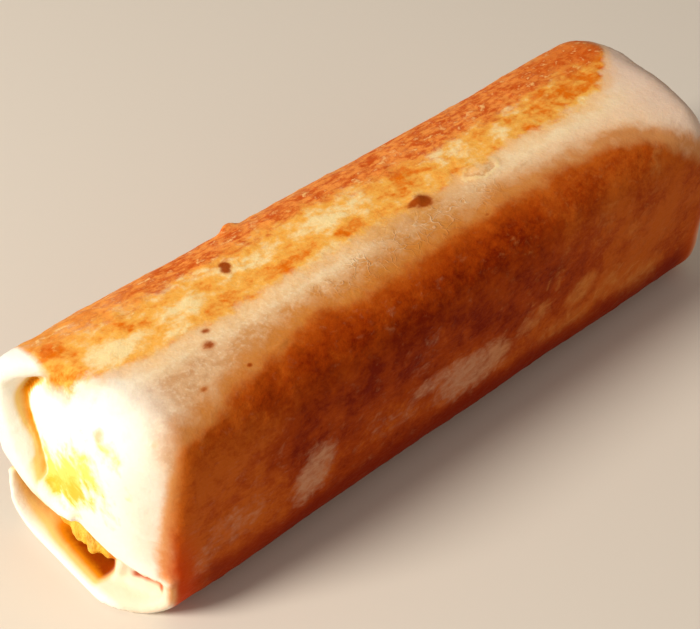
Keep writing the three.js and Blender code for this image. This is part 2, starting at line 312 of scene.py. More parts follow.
def roll_tree(name):
    """A grid wrapped on by the rule: bar rows along the roll, and cap rows over each end."""
    nodes, given = geometry_tree(name, {"Columns": 256, "Cap rows": 40, "Bar rows": 200,
                                        "Inset": 0, "Layer": LAYER, "Floor": 0})
    columns, cap, bar, inset = (given[k] for k in ("Columns", "Cap rows", "Bar rows", "Inset"))
    rows = bar + 2 * cap
    grid = nodes.add("GeometryNodeMeshGrid", None, {
        "Size X": 1.0, "Size Y": 1.0, "Vertices X": columns + 1, "Vertices Y": rows + 1})
    u, v, _ = nodes.split(nodes.add("GeometryNodeInputPosition"))
    column, row = (u + 0.5) * columns, (v + 0.5) * rows
    closing = column.math("GREATER_THAN", columns - 0.5)
    turn = column / (columns - 1) * (1 - closing)
    seam = SEAM_MIDDLE + SEAM_DROP * (2 * row / rows - 1) ** 2
    angle = seam + turn * (ONCE_ROUND * FULL_TURN)
    near = ((row / cap).least(1) * (math.pi / 2)).sine()
    far = (((rows - row) / cap).least(1) * (math.pi / 2)).sine()
    share = near.least(far)
    plain = section_reach(angle, inset)
    side_y = plain * share * angle.cosine()
    side_z = CENTRE_Z + plain * share * angle.sine()
    near_x = FLAP_X + inset + end_drop(NEAR_END, angle, near)
    far_x = far_face(side_y, side_z) - inset - end_drop(FAR_END, angle, far)
    along = ((row - cap) / bar).most(0).least(1)
    x = near_x + (far_x - near_x) * along
    rolled = SWELL * (x / SWELL_SPAN + 0.8).sine() * (2 * angle + 0.6).cosine()
    rolled = rolled + RIPPLE * (x / RIPPLE_SPAN + 2 * angle).sine()
    outer = 1 - inset.math("GREATER_THAN", 0)
    reach = share * (plain + outer * (rolled - given["Layer"] * turn * share))
    y = reach * angle.cosine()
    z = (CENTRE_Z + reach * angle.sine()).most(given["Floor"])
    moved = nodes.add("GeometryNodeSetPosition", None, {
        "Geometry": grid, "Position": nodes.vector(x, y, z)})
    close_tree(nodes, nodes.add("GeometryNodeMergeByDistance", None, {
        "Geometry": moved, "Distance": 0.001}))
    return nodes


ROLL = roll_tree("pressed roll")
skin = new_object("tortilla_skin", bpy.data.meshes.new("start"))
run_tree(skin, ROLL, {"Columns": 256, "Cap rows": 40, "Bar rows": 200, "Inset": 0})
print("roll's skin has", triangles(skin), "triangles")

# %% [markdown]
# ## The gaping end
#
# On a real burrito the sides of the sheet are folded in before it is rolled up, so the end is a
# tucked flap, and the outer turns stand past it as a rim. Here the flap's free edge bends away
# from the rim at the back and underneath. The pocket is what lies outside that edge: an outline
# drawn through the flap's edge, pushed in along X and cut out of the roll.

# %% Smooth paths and mapped boxes
def smooth_path(points):
    """A path through points that u from 0 to 1 runs along; it goes on straight past its ends."""
    spots = np.array(points, float)
    padded = np.vstack([2 * spots[0] - spots[1], spots, 2 * spots[-1] - spots[-2]])
    spans = len(spots) - 1

    def inside(u):
        place = min(max(u, 0), 1) * spans
        i = min(int(place), spans - 1)
        t = place - i
        a, b, c, d = padded[i:i + 4]
        curve = 2 * b + (c - a) * t + (2 * a - 5 * b + 4 * c - d) * t ** 2
        return (curve + (3 * b - a - 3 * c + d) * t ** 3) / 2

    step = 0.001
    first, last = (inside(step) - inside(0)) / step, (inside(1) - inside(1 - step)) / step

    def along(u):
        return inside(u) + min(u, 0) * first + max(u - 1, 0) * last

    return along


def mesh_object(name, spots, faces):
    """A closed piece, its faces turned outwards."""
    mesh = bpy.data.meshes.new(name)
    mesh.from_pydata([tuple(map(float, spot)) for spot in spots], [], faces)
    shape = bmesh.new()
    shape.from_mesh(mesh)
    bmesh.ops.remove_doubles(shape, verts=shape.verts, dist=1e-4)
    bmesh.ops.recalc_face_normals(shape, faces=shape.faces)
    shape.to_mesh(mesh)
    shape.free()
    return new_object(name, mesh)


def mapped_box(name, steps, place):
    """A box of steps faces each way, with each vertex moved to place(u, v, w)."""
    spots, faces, seen = [], [], {}

    def vertex(cell):
        if cell not in seen:
            seen[cell] = len(spots)
            spots.append(place(*(c / n for c, n in zip(cell, steps))))
        return seen[cell]

    for axis in range(3):
        a, b = (axis + 1) % 3, (axis + 2) % 3
        for side in (0, steps[axis]):
            for i in range(steps[a]):
                for j in range(steps[b]):
                    face = []
                    for di, dj in ((0, 0), (1, 0), (1, 1), (0, 1)):
                        cell = [side] * 3
                        cell[a], cell[b] = i + di, j + dj
                        face.append(vertex(tuple(cell)))
                    faces.append(face)
    return mesh_object(name, spots, faces)


def mix(a, b, share):
    return a + (b - a) * share


def soft_step(value, start, end):
    """0 up to start, 1 from end on, and soft between them."""
    share = min(max((value - start) / (end - start), 0), 1)
    return share * share * (3 - 2 * share)


# %% The pocket, cut out along the flap's free edge
# Y and Z of the flap's free edge, from the top down the back and under to the front
FLAP_EDGE = [(5, 50.5), (10, 46.6), (14.6, 43.4), (17, 38.5), (16.4, 32.5), (14.3, 27), (13, 21),
             (11.4, 15), (7.6, 11.9), (1, 10.8), (-6, 10.2), (-13, 11), (-20, 11.8), (-32, 12.4)]
OUTSIDE = 60


def pocket(floor_x):
    """A closed tool that holds all that lies outside the flap's edge, in from the end."""
    edge = smooth_path(FLAP_EDGE)
    outline = [tuple(edge(i / 120)) for i in range(121)]
    outline += [(-OUTSIDE, FLAP_EDGE[-1][1]), (-OUTSIDE, -OUTSIDE), (OUTSIDE, -OUTSIDE),
                (OUTSIDE, OUTSIDE), (FLAP_EDGE[0][0], OUTSIDE)]
    count = len(outline)
    spots = [(x, y, z) for x in (floor_x - OUTSIDE, floor_x) for y, z in outline]
    faces = [[i, (i + 1) % count, count + (i + 1) % count, count + i] for i in range(count)]
    faces += [list(range(count)), list(range(count, 2 * count))]
    return mesh_object("pocket", spots, faces)


def cut(piece, tool):
    """Takes a closed tool out of a closed piece, and throws the tool away."""
    modifier = piece.modifiers.new("cut", "BOOLEAN")
    modifier.operation, modifier.solver, modifier.object = "DIFFERENCE", "MANIFOLD", tool
    settle(piece)
    bpy.data.objects.remove(tool)


cut(skin, pocket(POCKET_X))
print("with its pocket the skin has", triangles(skin), "triangles")

# %% [markdown]
# The rims are curved slabs. Each lies between an outer path, which is the skin of the roll, and an
# inner path, so its thickness can swell and fade. The upper rim comes over the back, runs
# down it and hooks in under the flap. The lower one goes round the bottom and up the front corner,
# with a folded corner of the flap squeezed flat behind it.

# %% Paths of the rims
# Top and back: the angle of a spot on the skin, then Y and Z of the inner path beside it
UPPER_RIM_TOP = [(88, 2.4, 47.9), (73, 7.6, 47.2), (60, 12.8, 46), (48, 16.4, 43.6)]
UPPER_RIM_BACK = [(33, 17.6, 39), (15, 17.2, 33), (-2, 15.7, 27.8)]
# Hook: Y and Z of the outer path, then of the inner one
UPPER_RIM_HOOK = [(25, 19.4, 14.6, 24), (21.8, 17, 13.4, 21.6), (17.4, 14.9, 11.8, 19.4),
                  (12.6, 12.7, 9.6, 17.6), (7.8, 11.6, 6.6, 16.2), (2.4, 13.2, 3, 15.4)]


def skin_spot(degrees, inset, x=POCKET_X):
    """Y and Z of the skin at an angle, moved in by an inset."""
    angle = math.radians(degrees)
    seam = SEAM_MIDDLE + SEAM_DROP
    turn = (angle - seam) / FULL_TURN
    turn = turn + 1 if turn < 0 else turn
    across = abs(math.cos(angle)) / HALF_WIDTH
    upward = abs(math.sin(angle)) / HALF_HEIGHT
    reach = (across ** SQUARENESS + upward ** SQUARENESS) ** (-1 / SQUARENESS)
    reach += SWELL * math.sin(x / SWELL_SPAN + 0.8) * math.cos(2 * angle + 0.6)
    reach += RIPPLE * math.sin(x / RIPPLE_SPAN + 2 * angle) - LAYER * turn - inset
    return reach * math.cos(angle), max(CENTRE_Z + reach * math.sin(angle), 0)


# %% Upper rim, lower rim and folded corner
def rim(name, outer, inner, reach):
    """A slab between two paths; reach(u) gives X at its root and at its free edge."""
    def place(u, v, w):
        outside, inside = outer(u), inner(u)
        rounding = 0.25 * max((v - 0.7) / 0.3, 0) ** 2
        y, z = mix(outside, inside, mix(rounding, 1 - rounding, w))
        root_x, edge_x = reach(u)
        return mix(root_x, edge_x, v), y, z
    return mapped_box(name, (90, 18, 5), place)


def upper_reach(u):
    top, hook, tip = 1 - soft_step(u, 0, 0.28), soft_step(u, 0.62, 0.86), soft_step(u, 0.75, 1)
    return POCKET_X + 1 - 7 * hook, -END_X + 1 + 10.5 * top + 2 * tip


def lower_reach(u):
    under_seam, corner = 1 - soft_step(u, 0, 0.15), soft_step(u, 0.62, 0.88)
    return POCKET_X + 1, -END_X + 1.6 * under_seam + 7.6 * corner


def lower_path(inset):
    def along(u):
        depth = inset * (1 + 0.25 * math.sin(9 * u) * soft_step(u, 0.2, 0.5))
        y, z = skin_spot(mix(-25, -158, u), depth)
        return np.array((y, max(z, depth)))
    return along


def corner_tuck(u, v, w):
    """The squeezed corner: u runs to the front, v up and w inwards. It has a pleat and a slit."""
    pleat = 1.5 * math.exp(-((u - 0.16 - 0.2 * v) / 0.07) ** 2)
    slit = 2.4 * math.exp(-((v - 0.36 - 0.1 * u) / 0.1) ** 2) * soft_step(u, 0.42, 0.55)
    slit *= 1 - soft_step(u, 0.84, 0.95)
    outer_x = FLAP_X + mix(2.6, 3.6, v) + 2 * soft_step(u, 0.45, 1) - pleat + slit
    y, z = mix(-5, -17.5 - 5.5 * v, u), mix(1.6, 12.6 + 1.2 * u, v)
    return mix(outer_x, POCKET_X + 1, w), y, z


upper_outer = [skin_spot(row[0], 0) for row in UPPER_RIM_TOP + UPPER_RIM_BACK]
upper_inner = [row[1:] for row in UPPER_RIM_TOP + UPPER_RIM_BACK]
upper_outer += [row[:2] for row in UPPER_RIM_HOOK]
upper_inner += [row[2:] for row in UPPER_RIM_HOOK]
end_parts = [
    rim("upper_rim", smooth_path(upper_outer), smooth_path(upper_inner), upper_reach),
    rim("lower_rim", lower_path(0), lower_path(3), lower_reach),
    mapped_box("corner_tuck", (60, 40, 4), corner_tuck),
]
print("made", [part.name for part in end_parts])

# %% [markdown]
# The pan raises blisters in the outer turn and lifts a crisp corner of it on the back edge. At the
# closed end a crease shows where the outer turns were folded over the inner ones.

# %% Blisters
BLISTERS = [(6.7, -1.1, 5.2, 3.8, 0.8), (24.3, -2.9, 10, 6, 0.5)]


def blister(x, y, length, width, height):
    """A flat bubble half sunk in the skin on top."""
    spots, faces = [], []
    rings, sides = 12, 24
    top = skin_spot(math.degrees(math.atan2(HALF_HEIGHT, y)), 0, x)[1]
    for ring in range(rings + 1):
        polar = math.pi * ring / rings
        for side in range(sides):
            turn = FULL_TURN * side / sides
            spots.append((x + length / 2 * math.sin(polar) * math.cos(turn),
                          y + width / 2 * math.sin(polar) * math.sin(turn),
                          top - 1 + (height + 1) * math.cos(polar)))
    for ring in range(rings):
        for side in range(sides):
            a, b = ring * sides + side, ring * sides + (side + 1) % sides
            faces.append([a, b, b + sides, a + sides])
    return mesh_object("blister", spots, faces)


end_parts += [blister(*sizes) for sizes in BLISTERS]
print("made", len(BLISTERS), "blisters")

# %% Torn flake
FLAKE_X = -28.5


def torn_flake(u, v, w):
    """A thin curled corner, standing up from the back top edge."""
    y, z = skin_spot(47, 0, FLAKE_X)
    along, up = mix(-3, 3, u), mix(-2, 0.4 + 1.2 * math.sin(math.pi * u) ** 1.3, v)
    lean = math.radians(62)
    out = mix(0, 1.1, w) - 0.15 * up ** 2
    return (FLAKE_X + along, y + up * math.cos(lean) - out * math.sin(lean),
            z + up * math.sin(lean) + out * math.cos(lean))


end_parts.append(mapped_box("torn_flake", (12, 8, 3), torn_flake))


# %% Crease of the closed end
def far_drop(angle, share):
    """What end_drop gives at the far end, for plain numbers."""
    depth = FAR_END["side"] + FAR_END["extra"] * max(math.cos(angle - FAR_END["corner"]), 0) ** 4
    return depth * (1 - (1 - share ** FAR_END["power"]) ** (1 / FAR_END["power"]))


def far_crease(u, v, w):
    """A groove along an arc inside the rim of the far end, fading at both ends of the arc."""
    middleness = math.sin(math.pi * u)
    angle = math.radians(mix(112, -140, u))
    y_rim, z_rim = skin_spot(math.degrees(angle), 0, END_X)
    rim_reach = math.hypot(y_rim, z_rim - CENTRE_Z)
    middle = rim_reach - 6.5 - 1.5 * middleness
    half_width = (0.25 + 0.5 * middleness) * mix(0.4, 1.4, v)
    reach = middle + mix(-half_width, half_width, w)
    y, z = reach * math.cos(angle), CENTRE_Z + reach * math.sin(angle)
    frontward = min(max((LEAN_FROM - y) / (HALF_WIDTH + LEAN_FROM), 0), 1)
    face = END_X - LEAN * frontward * mix(LOW_LEAN, 1, min(max(z / HEIGHT, 0), 1))
    face -= far_drop(angle, middle / rim_reach)
    return mix(face - 1.2 - 1.1 * middleness, face + 4, v), y, z


cut(skin, mapped_box("far_crease", (90, 4, 3), far_crease))
print("with its crease the skin has", triangles(skin), "triangles")

# %% [markdown]
# The pieces of the tortilla overlap, as slabs laid into each other. A voxel remesh turns them into
# one closed surface with even small faces, and a light smoothing gives the folds the soft edges of
# baked dough. Three quarters of a millimetre keeps the thin edges and stays well under the limit
# of faces for one piece.

# %% One tortilla
VOXEL = 0.75


def join(piece, others):
    """Adds the meshes of the others to a piece, and throws the others away."""
    shape = bmesh.new()
    for part in [piece, *others]:
        shape.from_mesh(part.data)
    shape.to_mesh(piece.data)
    shape.free()
    for part in others:
        bpy.data.objects.remove(part)


join(skin, end_parts)
remesh = skin.modifiers.new("remesh", "REMESH")
remesh.mode, remesh.voxel_size = "VOXEL", VOXEL
smooth = skin.modifiers.new("smooth", "SMOOTH")
smooth.factor, smooth.iterations = 0.5, 3
settle(skin)
print("one tortilla of", triangles(skin), "triangles")

# %% [markdown]
# ## Where the pan browned the skin
#
# Toasting follows contact with the hot pan. The roll was browned longest on its front (-Y), then
# turned on to its top and back, so two brown fields meet along a pale strip that never touched the
# pan. The tucked ends stay pale too. Every mark has a place on the unrolled skin: `x` along the
# roll and `girth` round it, which is 0 along the middle of the top and grows towards the front.
# Working in those two numbers is as easy as painting on the flat tortilla before it is rolled.
# Geometry and colour both need the fields, so the rule is a function that either tree can call.

# %% Places on the skin
CORNER_Y, CORNER_Z = 22.3, 46.9
ARC = 1.03


def skin_place(nodes, place):
    """X along the roll and girth round it, from a place in millimetres."""
    x, y, z = nodes.split(place)
    flat = y.size().least(CORNER_Y)
    down = (CORNER_Z - z).most(0)
    below = z.math("LESS_THAN", CENTRE_Z)
    girth = (flat + down + below * (CORNER_Y - flat) * 2) * ARC
    return x, girth * y.math("SIGN") * -1


def strongest(marks):
    """One mark out of many: where they overlap, the strongest counts."""
    total = marks[0]
    for mark in marks[1:]:
        total = total.most(mark)
    return total


def oval(x, girth, spot):
    """0 in the middle of an oval and 1 on its edge; spot is X, girth and half sizes."""
    at_x, at_girth, long, wide = spot
    across, round_it = (x - at_x) / long, (girth - at_girth) / wide
    return across * across + round_it * round_it


# %% Fields that the pan browned
def toast_zones(nodes, place):
    """The browned fields by name: X, girth, depths inside their edges in mm, and their toast.

    A toast is 0 on pale dough and 1 where the dough is browned through.
    """
    x, girth = skin_place(nodes, place)
    broad = nodes.noise(place, 0.09, 2.0) - 0.5
    ragged = nodes.noise(place, 0.33, 5.0, 0.62) - 0.5
    shoulders = 0.225 * (-38 - x).most(0) + 13 * ((x - 44) / 28).most(0) ** 2
    front_lower = (80 - girth).least(6)
    front = (girth - 14.6 - shoulders).least(front_lower) + broad * 6 + ragged * 5
    back_edge = 2.2 - 0.27 * (-66 - x).most(0) - 0.03 * (x - 60).most(0) ** 2
    back = (back_edge - girth).least((girth + 52) * 0.6) + broad * 6 + ragged * 7
    wobble = ragged * 1.6
    front_end = x + 81.9 - 4.6 * ((58 - girth).most(0) / 29) ** 2 + wobble
    back_end = x + 83.4 + wobble - 1.5 * (girth + 8).most(0) / 8
    far_end = 1 - x.rise(77, 83) * (girth - 36).size().rise(14, 22)
    _, y, _ = nodes.split(place)
    far_end = far_end * x.rise(85, 81).most(y.rise(-18.5, -22.5))
    return {
        "x": x, "girth": girth, "ragged": ragged, "front": front, "back": back,
        "front_end": front_end,
        "front_toast": front.rise(-2.0, 2.6) * front_end.rise(-1.4, 2.0) * far_end,
        "back_toast": back.rise(-0.8, 2.4) * back_end.rise(-0.8, 1.0) * x.rise(85, 80),
    }


# %% [markdown]
# The closed end is tucked like the end of a parcel: the upper turns are folded down over the lower
# ones, and the surplus at the corners lies in slanting layers. The edges of the layers are lines
# on the end face, so both trees can call the rule as well.

# %% Folds of the closed end
def end_folds(nodes, place, ragged):
    """Height of the folded layers and the shade along their edges, as Terms from 0 to 1."""
    x, y, z = nodes.split(place)
    on_end = x.rise(END_X - 9, END_X - 4)
    from_step = z - 19.5 - 0.16 * y - 2.6 * (y / 8 + 1).sine() + ragged * 1.5
    corner = y.size() + 0.12 * y - 3 - (z - 22) * 0.4
    corner = corner - ((z - 22).most(0) / 11) ** 2 * 2 + ragged * 3
    pleat = y.size() - 0.1 * y - 15 - (z - 6) * 0.45 + ragged * 3
    layers = from_step.rise(-0.7, 0.5)
    upper, lower = from_step.rise(0.5, 3), from_step.rise(-0.5, -3)
    height = layers + corner.rise(-0.9, 0.9) * upper * 0.6 + pleat.rise(0.9, -0.9) * lower * 0.5
    shade = from_step.rise(-2.6, -0.4) * from_step.rise(0.7, 0.1)
    shade = shade.most(corner.rise(-2.4, -0.4) * corner.rise(0.5, 0) * upper * 0.6)
    shade = shade.most(pleat.rise(2.4, 0.4) * pleat.rise(-0.5, 0) * lower * 0.6)
    return height * on_end, shade * on_end


# %% [markdown]
# Dough that was pressed in a pan is never smooth. It has shallow dents where the egg under it is
# uneven, small bumps, and tiny blisters where it browned. A bump in the finish would leave the
# outline dead straight, so Geometry Nodes push the skin itself in and out along its normals. The
# fields of the rule above make the blistering stronger where the skin is toasted.

# %% Relief of the skin
# An oval each: X, girth, half length and half width
WRINKLED_RING = (24.3, 2.8, 4.8, 2.6)
FOLD_LINES = [(-44.5, 15.6, 2.2, 0.55), (-3.6, 8.8, 4.5, 0.5), (-1.5, 11.5, 3.0, 0.45),
              (12, 9.5, 4.0, 0.45), (31, 8.0, 5.0, 0.5), (-24, 10.5, 4.0, 0.5)]


def relief_tree():
    nodes, given = geometry_tree("skin relief", {
        "Dents": 1.0, "Bumps": 0.42, "Blisters": 0.35, "Grain": 0.2, "Ring": 0.3, "Folds": 0.3,
        "Tuck": 0.65})
    place = nodes.add("GeometryNodeInputPosition")
    zones = toast_zones(nodes, place)
    x, girth = zones["x"], zones["girth"]
    toast = zones["front_toast"].most(zones["back_toast"])
    stretched = nodes.stretched(place)
    dents = (nodes.noise(stretched, 0.05, 1.0) - 0.5) * given["Dents"]
    bumps = (nodes.noise(stretched, 0.19, 2.0, 0.5, 0.3) - 0.5) * given["Bumps"]
    grain = (nodes.noise(place, 0.62, 2.0) - 0.5) * given["Grain"]
    cells = nodes.add("ShaderNodeTexVoronoi", {"feature": "SMOOTH_F1"}, {
        "Vector": place, "Scale": 0.24, "Randomness": 1.0, "Smoothness": 0.4})
    blisters = (0.42 - cells).most(0) * given["Blisters"] * (0.25 + toast)
    ring = 1 - (oval(x, girth, WRINKLED_RING) + zones["ragged"] * 2.5 - 1).size().rise(0, 0.5)
    bent = girth + zones["ragged"] * 2
    folds = strongest([oval(x + (girth - spot[1]) * 0.9, bent, spot).rise(1.3, 0.2)
                       for spot in FOLD_LINES])
    height = dents + bumps + grain + blisters + ring * given["Ring"] + folds * given["Folds"]
    height = height + end_folds(nodes, place, zones["ragged"])[0] * given["Tuck"]
    _, _, z = nodes.split(place)
    height = height * z.rise(0.2, 4.0)
    moved = nodes.add("GeometryNodeSetPosition", None, {
        "Geometry": given["Geometry"],
        "Offset": nodes.scaled(nodes.add("GeometryNodeInputNormal"), height)})
    close_tree(nodes, moved)
    return nodes


run_tree(skin, relief_tree(), {})
print("skin with its relief spans", [round(v, 1) for v in skin.dimensions], "mm")

# %% [markdown]
# The tortilla is a wall round the egg, not a lump. The room inside is the roll's own rule again,
# moved in by the wall's thickness, so a second run of the same tree gives the tool that cuts it.

# %% Room inside
def core(name, inset, columns, cap, bar):
    """The roll's own rule moved in by an inset, with coarser rows and columns."""
    piece = new_object(name, bpy.data.meshes.new("start"))
    return run_tree(piece, ROLL, {"Columns": columns, "Cap rows": cap, "Bar rows": bar,
                                  "Inset": inset, "Layer": 0, "Floor": inset})


cut(skin, core("room", WALL, 64, 10, 12))
print("hollowed:", triangles(skin), "triangles")

# %% [markdown]
# ## The egg
#
# Scrambled egg is soft curds pressed together. Only the pocket shows them, so the filling is the
# plain core with curds heaped where it is open. One lump is made, and Geometry Nodes set copies of
# it on points strewn over smaller copies of the large curds, each turned and sized at random with
# a fixed seed.

# %% Beds of curds
# Depth behind the gaping end, Y, Z and radius of each large curd
CURD_BED = [(8.3, 9.4, 8.4, 3.4), (7.6, 5.2, 6.8, 2.6), (8.4, 2.6, 8.0, 3.1), (7.8, -0.6, 6.4, 2.5),
            (8.6, -3.0, 7.0, 2.4), (8.4, 13.4, 7.2, 3.0), (7.2, 17.4, 10.0, 2.8),
            (6.6, 20.6, 13.2, 2.5)]
CURD_WIDEN, CURD_SQUASH = 1.2, 0.85
CURD_SEED = 7
EGG_VOXEL = 0.62


def curd_tree(material):
    """Copies of one lump, strewn over a sheet and turned and sized at random."""
    nodes, given = geometry_tree("egg curds", {"Curd size": 1.5, "Spread": 0.35, "Density": 0.3})
    strewn = nodes.add("GeometryNodeDistributePointsOnFaces", None, {
        "Mesh": given["Geometry"], "Density": given["Density"], "Seed": CURD_SEED})
    lump = nodes.add("GeometryNodeMeshIcoSphere", None, {"Radius": 1.0, "Subdivisions": 4})
    place = nodes.add("GeometryNodeInputPosition")
    bulge = nodes.noise(place, 1.1, 2.0) - 0.5
    lump = nodes.add("GeometryNodeSetPosition", None, {
        "Geometry": lump, "Offset": nodes.scaled(place, bulge * 1.3)})
    turn = nodes.add("FunctionNodeRandomValue", {"data_type": "FLOAT_VECTOR"},
                     {0: (0, 0, 0), 1: (FULL_TURN, FULL_TURN, FULL_TURN), "Seed": CURD_SEED})
    size = nodes.add("FunctionNodeRandomValue", {"data_type": "FLOAT"}, {
        2: given["Curd size"] * (1 - given["Spread"]),
        3: given["Curd size"] * (1 + given["Spread"]), "Seed": CURD_SEED + 1}, 1)
    heaped = nodes.add("GeometryNodeInstanceOnPoints", None, {
        "Points": strewn, "Instance": lump, "Rotation": turn,
        "Scale": nodes.vector(size * 1.25, size, size * 0.85)})
    real = nodes.add("GeometryNodeRealizeInstances", None, {"Geometry": heaped})
    close_tree(nodes, nodes.add("GeometryNodeSetMaterial", None, {
        "Geometry": real, "Material": material}))
    return nodes


def lump_mesh(name, spots):
    """Lumps at X, Y, Z and radius, a little wider than they are high."""
    shape = bmesh.new()
    for x, y, z, radius in spots:
        ball = bmesh.ops.create_icosphere(shape, subdivisions=3, radius=radius)
        for vertex in ball["verts"]:
            pressed = Vector((vertex.co.x, vertex.co.y * CURD_WIDEN, vertex.co.z * CURD_SQUASH))
            vertex.co = pressed + Vector((x, y, z))
    mesh = bpy.data.meshes.new(name)
    shape.to_mesh(mesh)
    shape.free()
    return new_object(name, mesh)


# %% The egg
egg_finish = bpy.data.materials.new("scrambled_egg")
heap = [(depth - END_X, y, z, radius) for depth, y, z, radius in CURD_BED]
curds = lump_mesh("curds", heap)
bed = [(x, y, z, radius * 0.8) for x, y, z, radius in heap]
small_curds = run_tree(lump_mesh("small_curds", bed), curd_tree(egg_finish),
                       {"Curd size": 1.15, "Spread": 0.4, "Density": 0.34})
egg = core("egg_filling", WALL + EGG_GAP, 96, 16, 40)
join(egg, [curds, small_curds])
egg_remesh = egg.modifiers.new("remesh", "REMESH")
egg_remesh.mode, egg_remesh.voxel_size = "VOXEL", EGG_VOXEL
settle(egg)
print("egg of", triangles(egg), "triangles")

# %% [markdown]
# ## To metres
#
# Everything was made in millimetres with the roll's middle as its origin. The record measures in
# metres from the middle of the footprint.

# %% Into the shared frame
def to_frame(piece):
    """Puts a piece where the record has it, in metres, with smooth shading."""
    for vertex in piece.data.vertices:
        vertex.co = (vertex.co + FOOTPRINT_SHIFT) * MM
    piece.data.polygons.foreach_set("use_smooth", [True] * len(piece.data.polygons))
    piece.data.update()


# %% [markdown]
# ## Finishes
#
# Fat and egg have soaked into the pocket, which colours its walls from tan at the lip to deep
# orange inside, and its deepest parts are painted dark red-brown as shade. That follows the shape
# and not a pattern, so each vertex of the tortilla is told how deep it lies: an attribute that the
# finish reads back.

# %% How deep each spot of the tortilla lies in the pocket
def inside_flap(y, z):
    """How far each spot lies inside the flap's free edge; less than 0 out in the pocket."""
    edge = smooth_path(FLAP_EDGE)
    line = np.array([edge(i / 240) for i in range(241)])
    gaps = np.stack([y, z], 1)[:, None, :] - line[None]
    lengths = np.hypot(gaps[..., 0], gaps[..., 1])
    nearest = lengths.argmin(1)
    ahead = np.gradient(line, axis=0)[nearest]
    gap = gaps[np.arange(len(y)), nearest]
    side = ahead[:, 1] * gap[:, 0] - ahead[:, 0] * gap[:, 1]
    return np.sign(side) * lengths.min(1)


def soft_steps(values, start, end):
    """soft_step for a whole array; it falls where start is above end."""
    share = np.clip((values - start) / (end - start), 0, 1)
    return share * share * (3 - 2 * share)


def mark_pocket(piece):
    """Gives each vertex how deep it lies in the pocket, and whether it is on the flap."""
    spots = np.empty(len(piece.data.vertices) * 3)
    piece.data.vertices.foreach_get("co", spots)
    x, y, z = spots.reshape(-1, 3).T
    angle, reach = np.arctan2(z - CENTRE_Z, y), np.hypot(y, z - CENTRE_Z)
    across, upward = np.abs(np.cos(angle)) / HALF_WIDTH, np.abs(np.sin(angle)) / HALF_HEIGHT
    sunk = (across ** SQUARENESS + upward ** SQUARENESS) ** (-1 / SQUARENESS) - reach
    near = x < POCKET_X + 3
    inside = np.full(len(x), 99.0)
    inside[near] = inside_flap(y[near], z[near])
    low = soft_steps(z, 24, 16)  # under the hooked lip, where the pocket is widest
    closed_top = soft_steps(y, 15, 10) * soft_steps(z, 38, 43)  # where the rim lies on the flap
    from_lip = soft_steps(x, -89.5 - 1.2 * low, -81.5 - 3 * low)  # 0 at the rim's free edge
    by_flap = 0.14 + 0.3 * low + soft_steps(-inside, 1.7 + 10 * low, 0.4 + 4 * low)
    by_flap = np.minimum(by_flap, 1)
    # How deep a spot lies in the pocket: it drives the real stain and, deepest inside, painted
    # shade.
    deep = from_lip * by_flap * soft_steps(sunk, 0.9, 2.4) * soft_steps(inside, 1.2, 0.3)
    flap = soft_steps(inside, 0.2, 1.4) * soft_steps(x, -87.8, -86.8) * near
    marks = {"pocket": deep * (1 - closed_top), "flap": flap}
    for name, values in marks.items():
        mark = piece.data.attributes.new(name, "FLOAT", "POINT")
        mark.data.foreach_set("value", values.astype(np.float32))
    print("pocket marks on", int((deep > 0.1).sum()), "vertices")


mark_pocket(skin)
for piece in (skin, egg):
    to_frame(piece)

# %% [markdown]
# The colours go on in the order that the pan made them: pale dough, a honey-coloured halo where
# heat crept past the contact, the two brown fields with the pale patches where steam held the
# dough off the pan, then single scorched spots. A patch is an oval worn away by noise, so its edge
# is never a clean line. Each row below is one oval on the unrolled skin: X, girth, half length and
# half width in mm. On the front a strength follows, and after a dark spot how faint it is.

# %% Marks on the skin
PALE_ON_FRONT = [(-45, 50, 5, 7, 1.0), (-66, 50, 8, 5, 0.5), (-74, 54, 3, 5, 0.5),
                 (2, 51, 11, 5.5, 1.0), (-9, 47, 8, 2.6, 0.7), (-22, 50, 7, 4, 0.35),
                 (20, 47, 6, 4, 0.6), (36, 48, 5, 4, 0.85), (32, 56, 10, 2.8, 0.65),
                 (48, 52, 8, 4, 0.6), (58, 58, 8, 5, 0.65), (62, 25, 3.2, 3, 0.5),
                 (44, 31, 3, 4, 0.45), (28, 36, 3, 6, 0.35), (-13, 35, 3, 7, 0.3),
                 (42, 33, 4, 5, 0.4), (55, 38, 6, 4, 0.35)]
PALE_ON_TOP = [(-10, -7.5, 11, 2.2), (-32, -8, 8, 2), (24, -7, 6, 3), (-70, -4, 7, 3),
               (-53, -5, 6, 2.4), (36, -4, 4, 2), (-38, -9, 4, 2.6), (47, -8, 4, 1.8),
               (-20, 1, 6, 1.6), (61, 0.5, 5, 1.6)]
ORANGE_ON_TOP = [(6, -6, 8, 4), (-62, -9, 7, 3), (44, 2.5, 2, 5), (-28, -2, 7, 2.4),
                 (-8, -1.5, 6, 2), (58, -5.5, 9, 3.5), (72, -8, 8, 6), (-80, -9, 4, 6),
                 (-46, -1, 6, 2)]
DARK_SPOTS = [(7.2, 2.1, 1.9, 1.6, 0), (5.9, 1.6, 2.0, 1.0, 0.1), (-38.3, -10.3, 0.9, 1.1, 0),
              (-38.9, -9.3, 0.8, 1.1, 0.1), (-55.7, 6.6, 1.3, 1.0, 0.9),
              (-53.5, 3.0, 0.9, 0.7, 1.2), (-63.4, 15.4, 0.8, 0.6, 1.2),
              (-52.6, 16.0, 0.7, 0.5, 1.2), (14.8, 14.8, 0.9, 0.6, 1.6)]


# %% Tools for a finish
def tone(red, green, blue):
    """A colour given from 0 to 255, turned to the linear light that shaders use."""
    linear = [v / 12.92 if v <= 0.04045 else ((v + 0.055) / 1.055) ** 2.4
              for v in (red / 255, green / 255, blue / 255)]
    return (*linear, 1.0)


